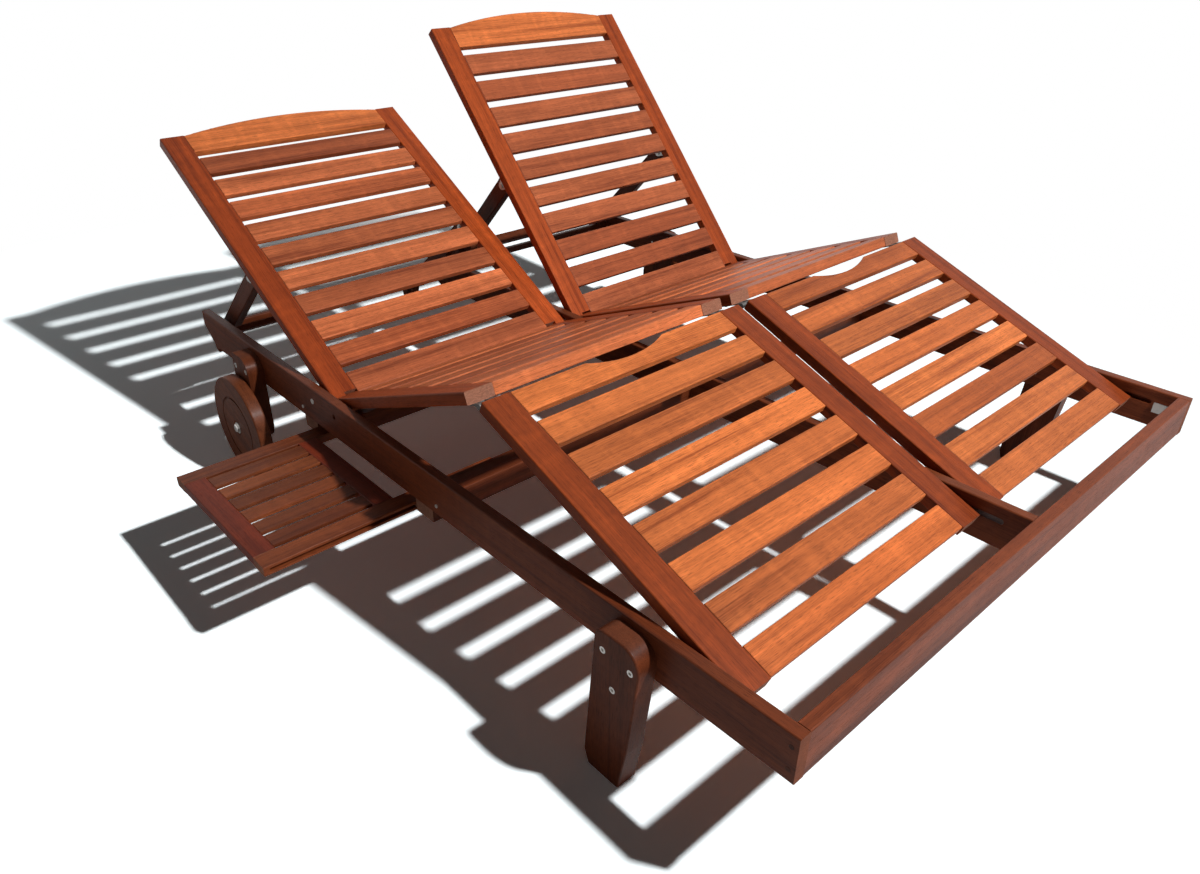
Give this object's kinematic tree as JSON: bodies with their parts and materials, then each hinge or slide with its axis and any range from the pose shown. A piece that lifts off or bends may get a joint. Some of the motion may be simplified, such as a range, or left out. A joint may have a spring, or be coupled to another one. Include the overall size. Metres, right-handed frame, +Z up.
{
  "type": "double chaise lounger",
  "caption": "Slatted hardwood double chaise lounger on a wheeled base, with reclining backs on notched props, folding knees and a slide-out side tray",
  "frame": {"origin": "on the floor, under the middle of the box that the whole lounger fills", "axes": "+Y from the foot end to the head end, +X to the right of someone at the foot end who looks at the head end, +Z up"},
  "size_m": [1.8964, 2.1533, 1.0249],
  "materials": {
    "frame_wood": "satin oiled hardwood",
    "panel_wood": "satin oiled hardwood",
    "slat_wood": "satin oiled hardwood",
    "tray_wood": "satin oiled hardwood",
    "wheel_wood": "satin oiled hardwood",
    "steel": "plain zinc plated"
  },
  "bodies": {
    "frame": {"side_rail_left": "frame_wood", "side_rail_right": "frame_wood", "centre_rail": "frame_wood", "foot_rail": "frame_wood", "mid_stretchers": "frame_wood", "seat_stretchers": "frame_wood", "rear_stretchers": "frame_wood", "prop_bars": "frame_wood", "pivot_plates": "steel", "tray_guide_front": "frame_wood", "tray_guide_rear": "frame_wood", "front_leg_left": "frame_wood", "front_leg_right": "frame_wood", "rear_leg_left": "frame_wood", "rear_leg_right": "frame_wood", "wheel_bolts": "steel", "leg_bolts": "steel", "rail_bolts": "steel", "corner_brackets": "steel"},
    "wheel_left": {"wheel_left": "wheel_wood"},
    "wheel_right": {"wheel_right": "wheel_wood"},
    "left_back": {"left_back_outer_stile": "panel_wood", "left_back_inner_stile": "panel_wood", "left_back_crest": "slat_wood", "left_back_slats": "slat_wood", "left_prop_brackets": "steel"},
    "left_prop": {"left_prop_outer_arm": "panel_wood", "left_prop_inner_arm": "panel_wood", "left_prop_crossbar": "panel_wood"},
    "left_seat": {"left_seat_outer_stile": "panel_wood", "left_seat_inner_stile": "panel_wood", "left_seat_slats": "slat_wood", "left_knee_upper_leaves": "steel"},
    "left_legrest": {"left_leg_outer_stile": "panel_wood", "left_leg_inner_stile": "panel_wood", "left_leg_slats": "slat_wood", "left_knee_lower_leaves": "steel", "left_foot_pins": "steel"},
    "right_back": {"right_back_inner_stile": "panel_wood", "right_back_outer_stile": "panel_wood", "right_back_crest": "slat_wood", "right_back_slats": "slat_wood", "right_prop_brackets": "steel"},
    "right_prop": {"right_prop_inner_arm": "panel_wood", "right_prop_outer_arm": "panel_wood", "right_prop_crossbar": "panel_wood"},
    "right_seat": {"right_seat_inner_stile": "panel_wood", "right_seat_outer_stile": "panel_wood", "right_seat_slats": "slat_wood", "right_knee_upper_leaves": "steel"},
    "right_legrest": {"right_leg_inner_stile": "panel_wood", "right_leg_outer_stile": "panel_wood", "right_leg_slats": "slat_wood", "right_knee_lower_leaves": "steel", "right_foot_pins": "steel"},
    "side_tray": {"tray_front_board": "tray_wood", "tray_rear_board": "tray_wood", "tray_outer_stile": "tray_wood", "tray_inner_stile": "tray_wood", "tray_slats": "tray_wood"}
  },
  "joints": [
    {"name": "left_back_hinge", "type": "hinge", "parent": "frame", "child": "left_back", "pos_m": [-0.2477, 0.24731, 0.308], "axis": [1, 0, 0], "range_deg": [0, 35.5]},
    {"name": "left_prop_hinge", "type": "hinge", "parent": "left_back", "child": "left_prop", "pos_m": [-0.2477, 0.65653, 0.49449], "axis": [1, 0, 0], "range_deg": [0, 67.6]},
    {"name": "left_seat_hinge", "type": "hinge", "parent": "frame", "child": "left_seat", "pos_m": [-0.2477, 0.24731, 0.308], "axis": [1, 0, 0], "range_deg": [0, 22.75]},
    {"name": "left_knee_hinge", "type": "hinge", "parent": "left_seat", "child": "left_legrest", "pos_m": [-0.2477, -0.31447, 0.52243], "axis": [1, 0, 0], "range_deg": [-43.9, 0]},
    {"name": "right_back_hinge", "type": "hinge", "parent": "frame", "child": "right_back", "pos_m": [0.4853, 0.24731, 0.308], "axis": [1, 0, 0], "range_deg": [0, 16.7]},
    {"name": "right_prop_hinge", "type": "hinge", "parent": "right_back", "child": "right_prop", "pos_m": [0.4853, 0.5746, 0.61642], "axis": [1, 0, 0], "range_deg": [0, 91.5]},
    {"name": "right_seat_hinge", "type": "hinge", "parent": "frame", "child": "right_seat", "pos_m": [0.4853, 0.24731, 0.308], "axis": [1, 0, 0], "range_deg": [0, 22.75]},
    {"name": "right_knee_hinge", "type": "hinge", "parent": "right_seat", "child": "right_legrest", "pos_m": [0.4853, -0.31447, 0.52243], "axis": [1, 0, 0], "range_deg": [-43.9, 0]},
    {"name": "tray_slide", "type": "slide", "parent": "frame", "child": "side_tray", "axis": [1, 0, 0], "range_m": [0, 0.322]},
    {"name": "wheel_left_spin", "type": "hinge", "parent": "frame", "child": "wheel_left", "pos_m": [-0.6877, 0.60131, 0.136], "axis": [1, 0, 0], "continuous": true},
    {"name": "wheel_right_spin", "type": "hinge", "parent": "frame", "child": "wheel_right", "pos_m": [0.9253, 0.60131, 0.136], "axis": [1, 0, 0], "continuous": true}
  ],
  "couplings": [
    {"joint": "left_knee_hinge", "follows": "left_seat_hinge", "ratio": -1.9292},
    {"joint": "right_knee_hinge", "follows": "right_seat_hinge", "ratio": -1.9292}
  ]
}
